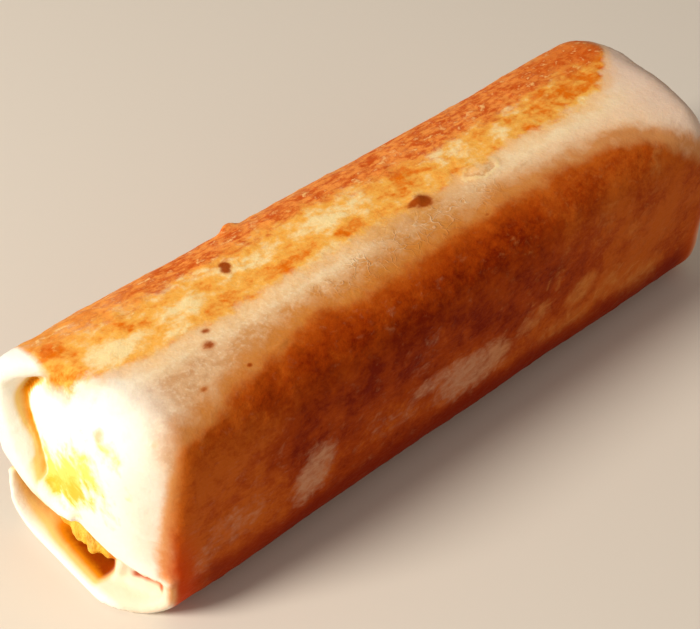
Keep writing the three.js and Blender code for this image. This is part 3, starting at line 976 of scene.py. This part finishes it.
def finish_of(material):
    """A material's empty tree, as Nodes, with its Principled shader and its place in mm."""
    material.use_nodes = True
    nodes = Nodes(material.node_tree)
    shader = next(n for n in material.node_tree.nodes if n.type == "BSDF_PRINCIPLED")
    object_place = nodes.add("ShaderNodeTexCoord", None, None, "Object")
    place = nodes.add("ShaderNodeMapping", None, {
        "Vector": object_place, "Location": tuple(-v for v in FOOTPRINT_SHIFT),
        "Scale": (1 / MM, 1 / MM, 1 / MM)})
    return nodes, shader, place


def coats(nodes, base, *shares_and_tones):
    """Lays coats of colour on a base, each as strong as its share from 0 to 1."""
    for share, colour in shares_and_tones:
        base = nodes.blend(share, base, colour)
    return base


def set_plain(shader, **values):
    """Sets what is the same all over a surface, straight on the shader's own sockets."""
    for name, value in values.items():
        shader.inputs[name.replace("_", " ")].default_value = value


# %% Noises that wear the marks
tortilla_finish = bpy.data.materials.new("toasted_tortilla")
nodes, shader, place = finish_of(tortilla_finish)
zones = toast_zones(nodes, place)
x, girth, ragged = zones["x"], zones["girth"], zones["ragged"]
_, side_y, side_z = nodes.split(place)
along_roll = nodes.stretched(place)
fine = nodes.noise(place, 1.1, 4.0, 0.6)
cloud = nodes.noise(place, 0.09, 3.0, 0.5)
freckle = nodes.noise(along_roll, 0.7, 4.0, 0.62)
mottle = nodes.noise(along_roll, 0.3, 6.0, 0.62, 0.5)
blotch = nodes.noise(place, 0.23, 3.0, 0.55, 0.3)
web = nodes.noise(place, 0.26, 5.0, 0.65, 0.8)


def cracks(scale, width):
    """1 on the lines of a broken net and 0 between them."""
    bend = nodes.add("ShaderNodeTexNoise", None, {"Vector": place, "Scale": 0.2}, 1)
    bent = nodes.add("ShaderNodeVectorMath", {"operation": "ADD"},
                     {0: place, 1: nodes.scaled(bend, 6.0)})
    net = nodes.add("ShaderNodeTexVoronoi", {"feature": "DISTANCE_TO_EDGE"},
                    {"Vector": bent, "Scale": scale})
    return net.rise(width, 0)


# %% [markdown]
# Flour dough dries pale, and the skin still shows where it lay: honey-coloured in the warm middle
# of the roll, floury white at the ends. Wide cloudy coats come first, then grain and freckles, and
# last the thin lines where the skin cracked, wrinkled or was folded. The front part of the gaping
# end's panel gets a mottled darker pinkish tan as painted shade.

# %% Pale dough
speckle = (freckle * 0.5 + web * 0.5).rise(0.53, 0.66)
cream = (girth - 4).size().rise(5.5, 1.0) * (x - 4).size().rise(4, 24)
floury_end = x.rise(-66, -82) * (1 - girth.rise(11, 24) * x.rise(-82, -77) * 0.8)
# Painted shade: a mottled darker pinkish tan on the front part of the gaping end's panel.
shaded_front_of_panel = side_y.rise(-9, -22) * x.rise(-78, -83) * side_z.rise(12, 22)
dough = nodes.blend(x.rise(0, 50), tone(210, 144, 78), tone(248, 206, 160))
dough = coats(
    nodes, dough,
    (x.rise(-35, -65), tone(208, 156, 108)),
    (blotch.rise(0.58, 0.4) * 0.5, tone(240, 198, 150)),
    (fine.rise(0.45, 0.75) * 0.45, tone(250, 222, 184)),
    (speckle * 0.45, tone(200, 140, 92)),
    ((x - 6).size().rise(34, 12) * 0.3, tone(204, 134, 60)),
    (x.rise(34, 60) * 0.35, tone(255, 222, 184)),
    (cream * x.rise(80, 66) * (0.3 + fine * 0.7), tone(255, 228, 182)),
    (floury_end, tone(255, 248, 230)),
    (shaded_front_of_panel * (0.35 + mottle * 0.5), tone(226, 198, 166)),
    (x.rise(58, 82) * 0.8, tone(228, 200, 182)))

# %% Cracks, wrinkles and folds in the dough
crackle = cracks(0.2, 0.07) * blotch.rise(0.46, 0.6) * x.size().rise(50, 15)
crackle = crackle * girth.rise(1, 5) * zones["front"].rise(2, -3)
wrinkles = cracks(0.34, 0.06) * blotch.rise(0.42, 0.52) * (x + 2).size().rise(36, 14)
wrinkles = wrinkles * (girth - 10).size().rise(6, 2)
from_ring = oval(x, girth, WRINKLED_RING) + ragged * 2.5 - 1
tuck_shade = end_folds(nodes, place, ragged)[1]
dough = coats(
    nodes, dough,
    (crackle * 0.2, tone(186, 122, 70)),
    (wrinkles * 0.42, tone(255, 234, 196)),
    ((1 - (from_ring + 0.45).size().rise(0, 0.25)) * 0.5, tone(186, 112, 50)),
    ((1 - from_ring.size().rise(0, 0.4)) * 0.8, tone(255, 228, 170)),
    (tuck_shade * 0.6, tone(206, 152, 104)),
    (mottle.rise(0.54, 0.7) * x.rise(78, 86) * 0.5, tone(230, 182, 128)))

# %% [markdown]
# Egg and fat have seeped out of the gaping end. Inside the pocket the stain follows the depth that
# each vertex was given, and where it lies deepest a dark red-brown is painted as shade. On the flap
# it is one slanting yellow smear with a few drops beside it, worn away by the same noises as the
# toast. The folded corner stayed clean, and its slit is painted dark red-brown as shade.

# %% Stains at the gaping end
pocket_deep = nodes.add("ShaderNodeAttribute", {"attribute_name": "pocket"}, None, "Fac")
on_flap = nodes.add("ShaderNodeAttribute", {"attribute_name": "flap"}, None, "Fac")
folded = side_y.rise(-5, -8) * side_z.rise(18, 14)
soak_and_shade = pocket_deep * (1 - folded * 0.95) + (web - 0.5) * 0.3 * pocket_deep
# Painted shade: the thin slit of the folded corner is coloured dark red-brown.
slit = (side_z - 5.1 + 0.1 * side_y).size().rise(1.4, 0.5) * (side_y + 15.2).size().rise(5.2, 3.6)
slit = slit * x.rise(-83.4, -82.2) * x.rise(-76, -79)
colour = coats(
    nodes, dough,
    (soak_and_shade.rise(0.02, 0.3), tone(244, 204, 120)),
    (soak_and_shade.rise(0.3, 0.65), tone(228, 138, 14)),
    # Painted shade: where the pocket is deepest its walls turn dark red-brown.
    (soak_and_shade.rise(0.6, 0.95) * 0.9, tone(142, 38, 0)),
    (folded * pocket_deep.rise(0.05, 0.4) * 0.9, tone(250, 224, 192)),
    (slit * 0.9, tone(186, 66, 4)))

# %% Smear and drops on the flap
# An oval each on the flap: Y, Z and half sizes
FLAP_DROPS = [(-10.9, 54.5, 1.6, 1.6), (-6.1, 43.4, 1.8, 1.8), (-18.0, 47.0, 0.9, 0.9)]
outside = 1 - pocket_deep.rise(0.02, 0.2)
panel = x.rise(-80, -83) * outside * on_flap
slant = side_z + 0.7 * side_y
stain = ((slant - 27.5).size() / 9).most((side_y - 4.5).size() / 13)
stain = (1.35 - stain + (blotch - 0.5) * 2.6 + (web - 0.5)).rise(0.0, 1.0) * panel
smear = stain * ((slant - 23).size() / 12).rise(1, 0) + (web - 0.5) * 1.6
drops = strongest([-oval(side_y, side_z, spot) for spot in FLAP_DROPS])
drops = (drops + 1.2 + ragged * 2.5).rise(0.0, 1.4) * x.rise(-76, -80) * outside
colour = coats(
    nodes, colour,
    (stain * 0.85, tone(255, 214, 48)),
    (smear.rise(0.55, 1.05) * stain * 0.7, tone(246, 178, 24)),
    (drops * 0.6, tone(222, 158, 70)))

# %% [markdown]
# Dough beside the hot contact turns honey-coloured before it browns, so each brown field has a
# halo round it. Without one the change from pale to brown would look printed, and pinkish, since
# a blend of white and brown passes through pink.

# %% Halos
halo = (zones["front"] + x.rise(46, 60) * 2.5).rise(-8.5, 0) * 1.1
halo = halo + (blotch - 0.5) + (fine - 0.5) * 0.3
halo = halo.most(0).least(1) * zones["front"].rise(-11, -3) * x.rise(82, 77)
halo = halo * x.rise(-83, -75) * (x + girth * 0.25).rise(-73, -68)
back_halo = (zones["back"].rise(-5, 0) + (blotch - 0.5) * 1.2).most(0) * x.rise(-84, -78)
end_halo = zones["front_end"].rise(-2.0, -0.2) * zones["front"].rise(-1, 6)
off_tuck = side_z.rise(12, 15).most(side_y.rise(-22.5, -24.5)) * side_y.rise(-17.5, -21)
end_halo = end_halo * x.rise(-84, -82.6) * x.rise(-68, -74) * off_tuck
end_tone = nodes.blend(girth.rise(42, 56), tone(226, 150, 72), tone(232, 142, 46))
colour = coats(
    nodes, colour,
    (halo * 0.85, tone(204, 122, 44)),
    (back_halo.least(1) * x.rise(86, 82) * 0.45, tone(244, 178, 98)),
    (end_halo * 0.85, end_tone))

# %% [markdown]
# The top lay on the pan only a short while. It is golden, with pale islands and orange ones, and
# grows darker and rougher towards the back edge, where the roll's weight was. `heat` sums up all
# of that in one number, and the tones are laid along it.

# %% The golden field on top
heat = (blotch - 0.5) * -3.4 + (freckle - 0.5) * -2.2 + (web - 0.5) * -1.2
pale_top = strongest([oval(x, girth, spot).rise(2.2, 0.0) for spot in PALE_ON_TOP])
orange_top = strongest([oval(x, girth, spot).rise(2.2, 0.0) for spot in ORANGE_ON_TOP])
heat = heat * 1.15 + orange_top * 0.65 - pale_top * 0.85 + x.rise(48, 76) * 0.35
heat = heat - x.rise(-46, -58) * x.rise(-82, -70) * 0.35
gold = nodes.blend(heat.rise(-1.4, 0.1), tone(255, 222, 158), tone(252, 180, 78))
gold = nodes.blend(heat.rise(-0.1, 1.4), gold, tone(232, 114, 12))

# %% The scorched back edge
deep = -girth - 12.9 + 4.4 * x.rise(-14, 16) + (mottle - 0.5) * 14 + ragged * 6
deep = deep.rise(-2.4, 3.6) * (0.45 + 0.55 * x.rise(-86, -45))
steamed_back = (cloud * 0.6 + blotch * 0.4).rise(0.5, 0.6) * girth.rise(-17, -26)
scorch = nodes.blend((freckle * 0.6 + mottle * 0.4).rise(0.4, 0.6), tone(250, 150, 68),
                     tone(208, 78, 16))
scorch = coats(
    nodes, scorch,
    (x.rise(42, 74) * 0.5, tone(214, 92, 14)),
    ((web * 0.5 + freckle * 0.5).rise(0.54, 0.64) * 0.9, tone(255, 192, 116)),
    (steamed_back * 0.55, tone(250, 184, 104)))
gold = nodes.blend(deep * 0.95, gold, scorch)
colour = nodes.blend(zones["back_toast"] * outside, colour, gold)

# %% [markdown]
# The front lay on the pan longest. It is brown through and through, darkest in the middle, with
# pale patches along its lower edge where steam escaped. `burn_and_low_shade` says how dark a spot
# is, and its lowest part is darkened further as painted shade. The low corners at both ends got the
# most heat from below and glow orange.

# %% The brown field on the front
depth = zones["front"].rise(-3, 6.5)
middle = (x + 12).size().rise(72, 20) * (girth - 33).size().rise(20, 6)
pale_front = strongest([oval(x + (girth - at[1]) * 0.35, girth, at[:4]).rise(2.2, 0.0) * at[4]
                        for at in PALE_ON_FRONT])
burn_and_low_shade = (cloud - 0.5) * 1.6 + (blotch - 0.5) * -1.2 + (freckle - 0.5) + middle * 0.4
# The rise in girth from 55 to 62 darkens the lowest part of the front as painted shade.
burn_and_low_shade = burn_and_low_shade + (fine - 0.5) * 0.7 + girth.rise(55, 62) * 0.7 - pale_front * 0.15
burn_and_low_shade = burn_and_low_shade - x.rise(-42, -66) * 0.35 - x.rise(18, 44) * 0.3
brown = nodes.blend(burn_and_low_shade.rise(-0.6, 0.15), tone(196, 92, 22), tone(168, 62, 5))
brown = nodes.blend(burn_and_low_shade.rise(-0.05, 0.85), brown, tone(124, 27, 0))
brown = nodes.blend(depth, tone(190, 90, 18), brown)

# %% Steam patches and warm corners
steamed = (pale_front * 1.5 + (web - 0.5) * 2.6 + (freckle - 0.5) * 1.8).rise(0.2, 2.0)
steam_tone = nodes.blend(x.rise(-6, 30), tone(204, 148, 112), tone(212, 132, 62))
specks = (web * 0.6 + freckle * 0.4).rise(0.52, 0.68) * (0.35 + 0.65 * x.rise(-10, 30))
# Painted shade: the lowest part of the front, near the floor, is darkened to deep brown.
shaded_underside = girth.rise(55, 63) * x.rise(-78, -66)
edge = zones["front_end"].rise(4.5, 0.5) * girth.rise(50, 40)
glow = x.rise(-73, -81) * girth.rise(36, 56)
far_tip = x.rise(72, 82) * girth.rise(42, 56)
brown = coats(
    nodes, brown,
    (steamed * (0.5 + freckle * 0.75), steam_tone),
    (specks * depth * 0.4, tone(204, 112, 48)),
    (shaded_underside * 0.75, tone(138, 34, 0)),
    (edge * 0.6, tone(200, 100, 24)),
    (glow * 0.9, tone(206, 62, 0)),
    (far_tip * 0.65, tone(218, 92, 10)))
low_corner = x.rise(-82.4, -80.6).most(side_z.rise(9, 15))
colour = nodes.blend(zones["front_toast"] * outside * low_corner, colour, brown)

# %% [markdown]
# Small blisters touch the pan alone and scorch, so a few dark spots lie on pale skin. They go on
# last. Toasted dough is a little smoother than floury dough, which the roughness follows. A weak
# bump adds the grain that is finer than the mesh, and a little light passes through the dough.

# %% Scorched spots
spots = strongest([-oval(x, girth, at[:4]) - at[4] for at in DARK_SPOTS])
spots = spots - ragged * 3.2 - (freckle - 0.5) * 1.6
colour = nodes.blend(spots.rise(-4.2, -0.9) * 0.6, colour, tone(206, 120, 48))
colour = nodes.blend(spots.rise(-2.3, -0.6) * 0.95, colour, tone(160, 64, 5))

# %% Gloss and grain of the tortilla
toast = zones["front_toast"].most(zones["back_toast"]) * outside
relief = fine * 0.5 + freckle * (0.3 + toast * 0.6) + web * 0.4
relief = relief - crackle * 0.18 + wrinkles * 0.4
nodes.join(colour, shader.inputs["Base Color"])
nodes.join(0.78 - toast * 0.2 + (fine - 0.5) * 0.3, shader.inputs["Roughness"])
nodes.join(nodes.add("ShaderNodeBump", None, {
    "Height": relief, "Distance": 0.3 * MM, "Strength": 0.7}), shader.inputs["Normal"])
set_plain(shader, Specular_IOR_Level=0.06, Specular_Tint=tone(255, 196, 150),
          Subsurface_Weight=0.08, Subsurface_Radius=(1.0, 0.5, 0.25), Subsurface_Scale=0.0015)
print("tortilla finish of", len(nodes.tree.nodes), "nodes")

# %% [markdown]
# Scrambled egg is moist, so it shines more than the dough, and light goes some way into it. Its
# yellow shifts from curd to curd, with a deeper tone where cheese or yolk gathered.

# %% Egg finish
nodes, shader, place = finish_of(egg_finish)
curdle = nodes.noise(place, 0.5, 4.0, 0.6)
egg_colour = nodes.blend(curdle.rise(0.35, 0.68), tone(248, 176, 28), tone(255, 208, 74))
egg_colour = nodes.blend(nodes.noise(place, 0.25, 2.0).rise(0.52, 0.68), egg_colour,
                         tone(236, 140, 22))
nodes.join(egg_colour, shader.inputs["Base Color"])
nodes.join(nodes.add("ShaderNodeBump", None, {
    "Height": nodes.noise(place, 1.1, 4.0, 0.6), "Distance": 0.7 * MM, "Strength": 0.9}),
    shader.inputs["Normal"])
set_plain(shader, Roughness=0.38, Subsurface_Weight=0.15, Subsurface_Radius=(1.0, 0.6, 0.2),
          Subsurface_Scale=0.002)
print("egg finish of", len(nodes.tree.nodes), "nodes")

# %% [markdown]
# Each visible piece rides on the roll's one body and gets its finish, and the solid that it stands
# for is hidden.

# %% Rides
for piece, node, slot, finish in ((skin, "tortilla", "tortilla", tortilla_finish),
                                  (egg, "filling", "egg", egg_finish)):
    piece.data.materials.clear()
    piece.data.materials.append(finish)
    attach(piece, "root")
    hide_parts(node)

# %% [markdown]
# ## Floor and light
#
# A plain pale floor and one big soft lamp low on the left, so that the gaping end is bright and
# the most browned side lies in soft shade. A weak warm lamp in front fills that shade.

# %% Lamps
def soft_lamp(name, towards, distance, size, energy, colour):
    """A round lamp in a direction from the origin, shining back at it."""
    lamp = bpy.data.objects.new(name, bpy.data.lights.new(name, "AREA"))
    bpy.context.scene.collection.objects.link(lamp)
    lamp.data.shape, lamp.data.size = "DISK", size
    lamp.data.energy, lamp.data.color = energy, colour
    direction = Vector(towards).normalized()
    lamp.location = direction * distance
    lamp.rotation_euler = direction.to_track_quat("Z", "Y").to_euler()


soft_lamp("window", (-0.76, 0.2, 0.6), 1.2, 0.45, 15.5, (1.0, 0.96, 0.9))
soft_lamp("fill", (0.35, -1.0, 0.55), 1.4, 1.0, 2.2, (1.0, 0.86, 0.72))
world = bpy.context.scene.world or bpy.data.worlds.new("room")
bpy.context.scene.world = world
world.use_nodes = True
background = next(n for n in world.node_tree.nodes if n.type == "BACKGROUND")
set_plain(background, Color=(1.0, 0.97, 0.94, 1.0), Strength=0.24)
bpy.context.scene.view_settings.view_transform = "Standard"

# %% Floor
floor_finish = bpy.data.materials.new("pale_floor")
floor_finish.use_nodes = True
floor_shader = next(n for n in floor_finish.node_tree.nodes if n.type == "BSDF_PRINCIPLED")
set_plain(floor_shader, Base_Color=tone(226, 214, 198), Roughness=0.85)
floor = mesh_object("floor", [(-3, -3, 0), (3, -3, 0), (3, 3, 0), (-3, 3, 0)], [[0, 1, 2, 3]])
floor.data.materials.append(floor_finish)
